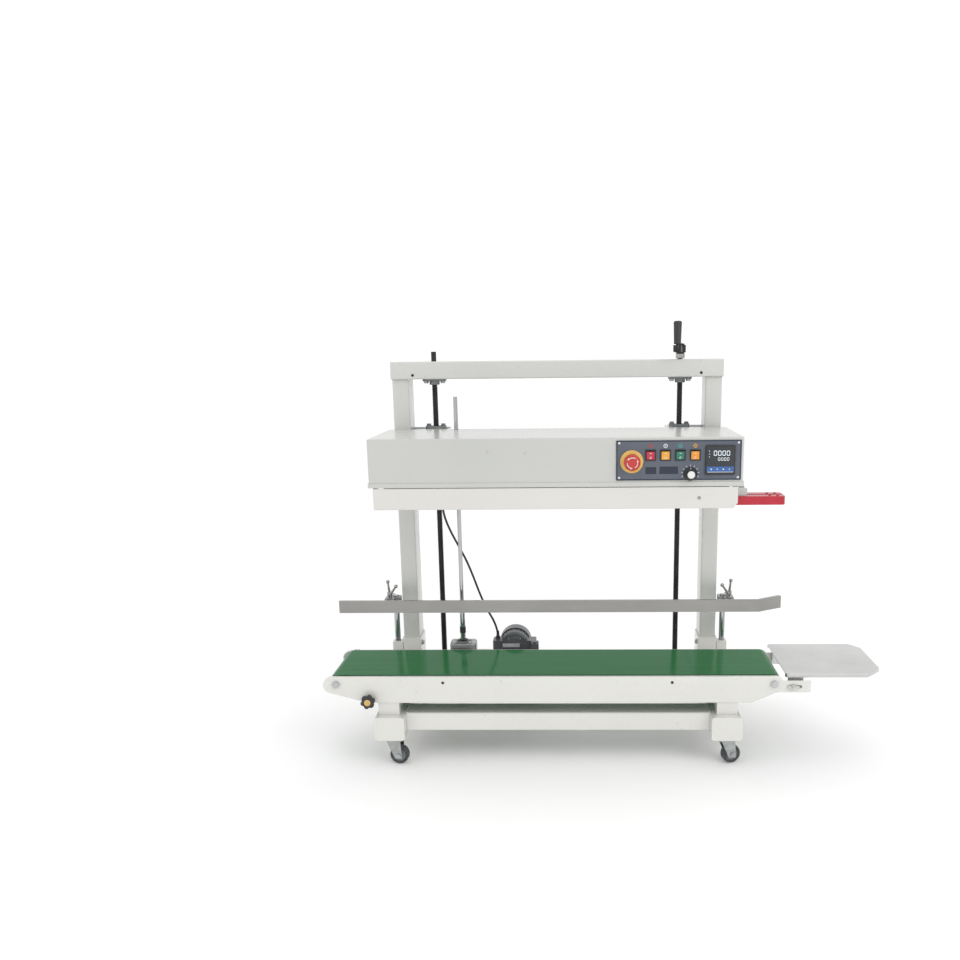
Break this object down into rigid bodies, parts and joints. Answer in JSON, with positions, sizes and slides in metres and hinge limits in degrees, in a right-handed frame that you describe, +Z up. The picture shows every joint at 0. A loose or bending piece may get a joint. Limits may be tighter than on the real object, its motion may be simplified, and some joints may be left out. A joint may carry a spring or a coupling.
{
  "type": "continuous band sealer",
  "caption": "Floor-standing vertical continuous band sealer: belt conveyor, hand-cranked lifting seal head with control panel, guide rail and infeed plate on a castered frame.",
  "frame": {"origin": "on the floor under the middle of the machine's bounding box", "axes": "+Z up, -Y towards the operator, bags travel along -X"},
  "size_m": [1.458, 0.5385, 1.146],
  "materials": {
    "white_paint": "semi-gloss off-white powder coat",
    "cast_bearing": "machined grey casting",
    "zinc_steel": "bright zinc plate",
    "chain_steel": "oiled steel",
    "gearbox_metal": "satin cast cover",
    "motor_grey": "dark grey fine-texture paint",
    "sheet_steel": "mill finish",
    "green_belt": "smooth glossy conveyor belting",
    "chrome": "polished hard chrome",
    "cable_black": "matt sheath",
    "panel_grey": "printed satin film over aluminium",
    "yellow_plastic": "gloss moulded",
    "black_plastic": "fine texture",
    "gauge_black": "gloss window in a satin bezel",
    "band_brown": "coated glass cloth",
    "block_brass": "machined",
    "red_paint": "gloss red enamel",
    "black_screw": "black oxide with oil film",
    "black_crank": "gloss black enamel",
    "grip_black": "polished phenolic",
    "roller_steel": "turned",
    "brushed_plate": "long-grain brushed stainless",
    "cast_clamp": "tumbled casting",
    "brushed_rail": "long-grain brushed stainless",
    "lever_steel": "satin chrome",
    "knob_black": "moulded phenolic",
    "stop_red": "gloss moulded",
    "dial_black": "fluted moulding",
    "sleeve_steel": "turned",
    "rocker_red": "translucent lens",
    "rocker_yellow": "translucent lens",
    "rocker_green": "translucent lens",
    "rocker_orange": "translucent lens",
    "wheel_alloy": "turned",
    "zinc_fork": "zinc-plated pressing",
    "caster_rubber": "satin tread"
  },
  "bodies": {
    "frame": {"base_frame": "white_paint", "columns": "white_paint", "top_beam": "white_paint", "screw_bearings": "cast_bearing", "frame_bolts": "zinc_steel", "roller_chains": "chain_steel", "bevel_gearbox": "gearbox_metal", "gear_motor": "motor_grey", "motor_cowl": "motor_grey", "side_panels": "white_paint", "conveyor_bed": "sheet_steel", "conveyor_belt": "green_belt", "rail_posts": "chrome", "motor_cable": "cable_black"},
    "head": {"head_tray": "white_paint", "head_cover": "white_paint", "front_guard": "white_paint", "rear_guard": "white_paint", "nut_brackets": "white_paint", "control_panel": "panel_grey", "stop_collar": "yellow_plastic", "rocker_bezels": "black_plastic", "temperature_gauge": "gauge_black", "sealing_bands": "band_brown", "sealing_blocks": "block_brass", "infeed_guides": "red_paint"},
    "left_screw": {"left_lead_screw": "black_screw"},
    "right_screw": {"right_lead_screw": "black_screw", "crank_arm": "black_crank"},
    "grip": {"crank_grip": "grip_black"},
    "drive_shaft": {"drive_rod": "chrome"},
    "belt_drive": {"drive_roller": "roller_steel"},
    "belt_idle": {"idle_roller": "roller_steel"},
    "infeed": {"infeed_plate": "brushed_plate"},
    "rail_carrier": {"rail_clamps": "cast_clamp"},
    "rail": {"guide_rail": "brushed_rail"},
    "left_post_lock": {"left_post_lever": "lever_steel"},
    "right_post_lock": {"right_post_lever": "lever_steel"},
    "left_arm_lock": {"left_arm_lever": "lever_steel"},
    "right_arm_lock": {"right_arm_lever": "lever_steel"},
    "tension_knob": {"star_knob": "knob_black"},
    "stop": {"stop_button": "stop_red"},
    "dial": {"speed_dial": "dial_black"},
    "sleeve": {"drive_sleeve": "sleeve_steel"},
    "rocker_1_key": {"rocker_1": "rocker_red"},
    "rocker_2_key": {"rocker_2": "rocker_yellow"},
    "rocker_3_key": {"rocker_3": "rocker_green"},
    "rocker_4_key": {"rocker_4": "rocker_orange"},
    "front_drive_band_wheel": {"front_drive_wheel": "wheel_alloy"},
    "front_idle_band_wheel": {"front_idle_wheel": "wheel_alloy"},
    "rear_drive_band_wheel": {"rear_drive_wheel": "wheel_alloy"},
    "rear_idle_band_wheel": {"rear_idle_wheel": "wheel_alloy"},
    "front_left_fork": {"front_left_caster_fork": "zinc_fork"},
    "front_left_wheel": {"front_left_caster_wheel": "caster_rubber"},
    "front_right_fork": {"front_right_caster_fork": "zinc_fork"},
    "front_right_wheel": {"front_right_caster_wheel": "caster_rubber"},
    "rear_left_fork": {"rear_left_caster_fork": "zinc_fork"},
    "rear_left_wheel": {"rear_left_caster_wheel": "caster_rubber"},
    "rear_right_fork": {"rear_right_caster_fork": "zinc_fork"},
    "rear_right_wheel": {"rear_right_caster_wheel": "caster_rubber"}
  },
  "joints": [
    {"name": "head_lift", "type": "slide", "parent": "frame", "child": "head", "axis": [0, 0, 1], "range_m": [-0.18, 0.09], "deforming": ["motor_cable"]},
    {"name": "left_screw_turn", "type": "hinge", "parent": "frame", "child": "left_screw", "pos_m": [-0.454, 0.09, 0.142], "axis": [0, 0, 1], "range_deg": [-8100, 16200]},
    {"name": "right_screw_turn", "type": "hinge", "parent": "frame", "child": "right_screw", "pos_m": [0.22, 0.09, 0.142], "axis": [0, 0, 1], "range_deg": [-8100, 16200]},
    {"name": "grip_spin", "type": "hinge", "parent": "right_screw", "child": "grip", "pos_m": [0.20337, 0.01175, 1.086], "axis": [0, 0, 1], "continuous": true},
    {"name": "belt_drive_turn", "type": "hinge", "parent": "frame", "child": "belt_drive", "pos_m": [-0.694, -0.11, 0.228], "axis": [0, 1, 0], "continuous": true},
    {"name": "belt_idle_turn", "type": "hinge", "parent": "frame", "child": "belt_idle", "pos_m": [0.443, -0.11, 0.228], "axis": [0, 1, 0], "continuous": true},
    {"name": "drive_shaft_turn", "type": "hinge", "parent": "frame", "child": "drive_shaft", "pos_m": [-0.39, 0.025, 0.235], "axis": [0, 0, 1], "continuous": true},
    {"name": "sleeve_turn", "type": "hinge", "parent": "head", "child": "sleeve", "pos_m": [-0.39, 0.025, 0.746], "axis": [0, 0, 1], "continuous": true},
    {"name": "front_drive_wheel_turn", "type": "hinge", "parent": "head", "child": "front_drive_band_wheel", "pos_m": [-0.417, -0.18165, 0.7], "axis": [0, 0, 1], "continuous": true},
    {"name": "front_idle_wheel_turn", "type": "hinge", "parent": "head", "child": "front_idle_band_wheel", "pos_m": [0.183, -0.18165, 0.7], "axis": [0, 0, 1], "continuous": true},
    {"name": "rear_drive_wheel_turn", "type": "hinge", "parent": "head", "child": "rear_drive_band_wheel", "pos_m": [-0.417, -0.11835, 0.7], "axis": [0, 0, 1], "continuous": true},
    {"name": "rear_idle_wheel_turn", "type": "hinge", "parent": "head", "child": "rear_idle_band_wheel", "pos_m": [0.183, -0.11835, 0.7], "axis": [0, 0, 1], "continuous": true},
    {"name": "infeed_gap", "type": "slide", "parent": "frame", "child": "infeed", "axis": [1, 0, 0], "range_m": [0, 0.015]},
    {"name": "rail_height", "type": "slide", "parent": "frame", "child": "rail_carrier", "axis": [0, 0, 1], "range_m": [-0.085, 0]},
    {"name": "rail_reach", "type": "slide", "parent": "rail_carrier", "child": "rail", "axis": [0, 1, 0], "range_m": [-0.035, 0.02]},
    {"name": "left_post_lever_turn", "type": "hinge", "parent": "rail_carrier", "child": "left_post_lock", "pos_m": [-0.6035, 0.067, 0.387], "axis": [0, 0, 1], "range_deg": [-60, 60]},
    {"name": "left_arm_lever_turn", "type": "hinge", "parent": "rail_carrier", "child": "left_arm_lock", "pos_m": [-0.598, 0.039, 0.387], "axis": [0, 0, 1], "range_deg": [-60, 0]},
    {"name": "right_post_lever_turn", "type": "hinge", "parent": "rail_carrier", "child": "right_post_lock", "pos_m": [0.3695, 0.067, 0.387], "axis": [0, 0, 1], "range_deg": [-60, 60]},
    {"name": "right_arm_lever_turn", "type": "hinge", "parent": "rail_carrier", "child": "right_arm_lock", "pos_m": [0.364, 0.039, 0.387], "axis": [0, 0, 1], "range_deg": [0, 60]},
    {"name": "tension_knob_turn", "type": "hinge", "parent": "frame", "child": "tension_knob", "pos_m": [-0.609, -0.222, 0.186], "axis": [0, 1, 0], "range_deg": [0, 360]},
    {"name": "stop_press", "type": "slide", "parent": "head", "child": "stop", "axis": [0, 1, 0], "range_m": [0, 0.006]},
    {"name": "rocker_1_tip", "type": "hinge", "parent": "head", "child": "rocker_1_key", "pos_m": [0.116, -0.2395, 0.823], "axis": [1, 0, 0], "range_deg": [-14, 0]},
    {"name": "rocker_2_tip", "type": "hinge", "parent": "head", "child": "rocker_2_key", "pos_m": [0.152, -0.2395, 0.823], "axis": [1, 0, 0], "range_deg": [-14, 0]},
    {"name": "rocker_3_tip", "type": "hinge", "parent": "head", "child": "rocker_3_key", "pos_m": [0.188, -0.2395, 0.823], "axis": [1, 0, 0], "range_deg": [-14, 0]},
    {"name": "rocker_4_tip", "type": "hinge", "parent": "head", "child": "rocker_4_key", "pos_m": [0.224, -0.2395, 0.823], "axis": [1, 0, 0], "range_deg": [-14, 0]},
    {"name": "speed_dial_turn", "type": "hinge", "parent": "head", "child": "dial", "pos_m": [0.213, -0.2405, 0.777], "axis": [0, 1, 0], "range_deg": [0, 270]},
    {"name": "front_left_swivel", "type": "hinge", "parent": "frame", "child": "front_left_fork", "pos_m": [-0.557, -0.2, 0.078], "axis": [0, 0, 1], "continuous": true},
    {"name": "front_left_roll", "type": "hinge", "parent": "front_left_fork", "child": "front_left_wheel", "pos_m": [-0.5391, -0.20188, 0.025], "axis": [0.1045, 0.9945, 0], "continuous": true},
    {"name": "front_right_swivel", "type": "hinge", "parent": "frame", "child": "front_right_fork", "pos_m": [0.323, -0.2, 0.078], "axis": [0, 0, 1], "continuous": true},
    {"name": "front_right_roll", "type": "hinge", "parent": "front_right_fork", "child": "front_right_wheel", "pos_m": [0.34039, -0.19534, 0.025], "axis": [-0.2588, 0.9659, 0], "continuous": true},
    {"name": "rear_left_swivel", "type": "hinge", "parent": "frame", "child": "rear_left_fork", "pos_m": [-0.557, 0.228, 0.078], "axis": [0, 0, 1], "continuous": true},
    {"name": "rear_left_roll", "type": "hinge", "parent": "rear_left_fork", "child": "rear_left_wheel", "pos_m": [-0.54009, 0.23416, 0.025], "axis": [-0.342, 0.9397, 0], "continuous": true},
    {"name": "rear_right_swivel", "type": "hinge", "parent": "frame", "child": "rear_right_fork", "pos_m": [0.323, 0.228, 0.078], "axis": [0, 0, 1], "continuous": true},
    {"name": "rear_right_roll", "type": "hinge", "parent": "rear_right_fork", "child": "rear_right_wheel", "pos_m": [0.34073, 0.22487, 0.025], "axis": [0.1736, 0.9848, 0], "continuous": true}
  ],
  "couplings": [
    {"joint": "left_screw_turn", "follows": "head_lift", "rad_per_m": -1570.8},
    {"joint": "right_screw_turn", "follows": "head_lift", "rad_per_m": -1570.8},
    {"joint": "belt_idle_turn", "follows": "belt_drive_turn", "ratio": 1},
    {"joint": "drive_shaft_turn", "follows": "belt_drive_turn", "ratio": 1},
    {"joint": "sleeve_turn", "follows": "belt_drive_turn", "ratio": 1},
    {"joint": "front_drive_wheel_turn", "follows": "belt_drive_turn", "ratio": -0.6852},
    {"joint": "front_idle_wheel_turn", "follows": "belt_drive_turn", "ratio": -0.6852},
    {"joint": "rear_drive_wheel_turn", "follows": "belt_drive_turn", "ratio": 0.6852},
    {"joint": "rear_idle_wheel_turn", "follows": "belt_drive_turn", "ratio": 0.6852}
  ]
}
